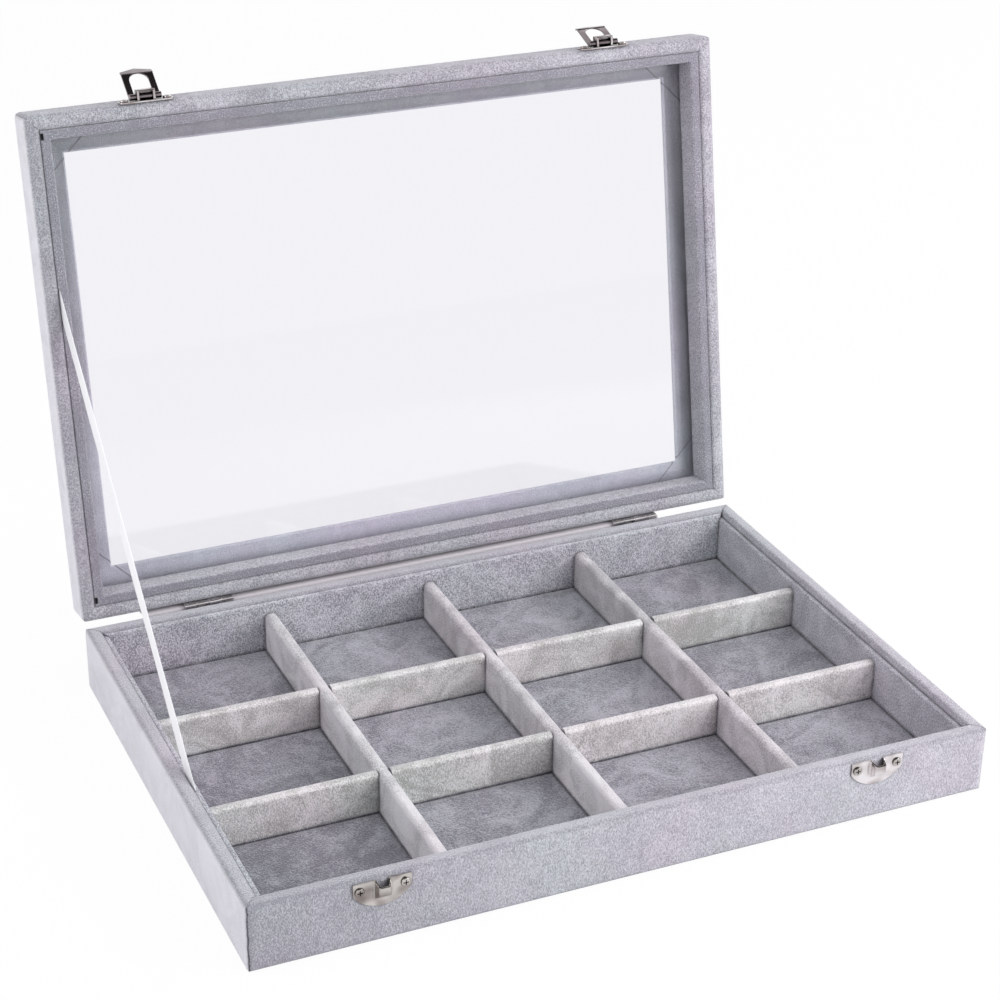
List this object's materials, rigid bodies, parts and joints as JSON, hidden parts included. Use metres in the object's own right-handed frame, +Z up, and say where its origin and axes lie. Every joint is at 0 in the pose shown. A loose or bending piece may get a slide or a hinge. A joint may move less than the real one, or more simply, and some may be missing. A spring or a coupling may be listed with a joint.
{
  "type": "jewelry display tray",
  "caption": "Velvet-covered jewelry case with a crossed divider grid, a glass lid hinged at the back, a ribbon stay and hasps that latch over catches on the front.",
  "frame": {"origin": "centre of the tray's flat underside", "axes": "+X along the tray to its right end, +Y to the back where the hinges are, +Z up"},
  "size_m": [0.35, 0.3149, 0.283],
  "materials": {
    "velvet_case": "board wrapped in pale grey short-nap velvet",
    "velvet_lining": "thin board covered in grey short-nap velvet",
    "velvet_divider": "board folded in grey short-nap velvet",
    "velvet_floor": "velvet over a thin pad",
    "bottom_board": "dark paper-faced board",
    "glass": "clear float glass, polished",
    "nickel": "bright nickel plating on pressed sheet",
    "dark_nickel": "smoky nickel plating",
    "hinge_nickel": "dull nickel plating",
    "white_ribbon": "white satin ribbon",
    "back_cloth": "smooth pale pinkish-grey cloth tape"
  },
  "bodies": {
    "base": {"back_cloth": "back_cloth", "base_bottom_board": "bottom_board", "base_liner_back": "velvet_lining", "base_liner_front": "velvet_lining", "base_liner_left": "velvet_lining", "base_liner_right": "velvet_lining", "base_wall_back": "velvet_case", "base_wall_front": "velvet_case", "base_wall_left": "velvet_case", "base_wall_right": "velvet_case", "catch_left": "nickel", "catch_left_screw_inner": "nickel", "catch_left_screw_outer": "nickel", "catch_right": "nickel", "catch_right_screw_inner": "nickel", "catch_right_screw_outer": "nickel", "divider_cross_1": "velvet_divider", "divider_cross_2": "velvet_divider", "divider_long_1": "velvet_divider", "divider_long_2": "velvet_divider", "divider_long_3": "velvet_divider", "floor_pad": "velvet_floor", "hinge_left_base_leaf": "hinge_nickel", "hinge_left_base_nail_inner": "hinge_nickel", "hinge_left_base_nail_outer": "hinge_nickel", "hinge_left_pin": "hinge_nickel", "hinge_right_base_leaf": "hinge_nickel", "hinge_right_base_nail_inner": "hinge_nickel", "hinge_right_base_nail_outer": "hinge_nickel", "hinge_right_pin": "hinge_nickel", "ribbon_stay": "white_ribbon"},
    "lid": {"hasp_left_bracket": "nickel", "hasp_left_screw_inner": "nickel", "hasp_left_screw_outer": "nickel", "hasp_right_bracket": "nickel", "hasp_right_screw_inner": "nickel", "hasp_right_screw_outer": "nickel", "hinge_left_lid_leaf": "hinge_nickel", "hinge_left_lid_nail_inner": "hinge_nickel", "hinge_left_lid_nail_outer": "hinge_nickel", "hinge_right_lid_leaf": "hinge_nickel", "hinge_right_lid_nail_inner": "hinge_nickel", "hinge_right_lid_nail_outer": "hinge_nickel", "lid_glass": "glass", "lid_rail_back": "velvet_case", "lid_rail_front": "velvet_case", "lid_rail_left": "velvet_case", "lid_rail_right": "velvet_case", "lid_strip_back": "velvet_lining", "lid_strip_front": "velvet_lining", "lid_strip_left": "velvet_lining", "lid_strip_right": "velvet_lining", "lid_top_back": "velvet_lining", "lid_top_front": "velvet_lining", "lid_top_left": "velvet_lining", "lid_top_right": "velvet_lining"},
    "flap_left": {"hasp_left_flap": "dark_nickel"},
    "flap_right": {"hasp_right_flap": "dark_nickel"}
  },
  "joints": [
    {"name": "lid_hinge", "type": "hinge", "parent": "base", "child": "lid", "pos_m": [0, 0.1225, 0.0332], "axis": [-1, 0, 0], "range_deg": [-100.2, 0], "deforming": ["ribbon_stay", "back_cloth"]},
    {"name": "hasp_left_hinge", "type": "hinge", "parent": "lid", "child": "flap_left", "pos_m": [-0.1166, 0.16956, 0.27499], "axis": [-1, 0, 0], "range_deg": [-136, 34]},
    {"name": "hasp_right_hinge", "type": "hinge", "parent": "lid", "child": "flap_right", "pos_m": [0.1166, 0.16956, 0.27499], "axis": [-1, 0, 0], "range_deg": [-152, 18]}
  ]
}
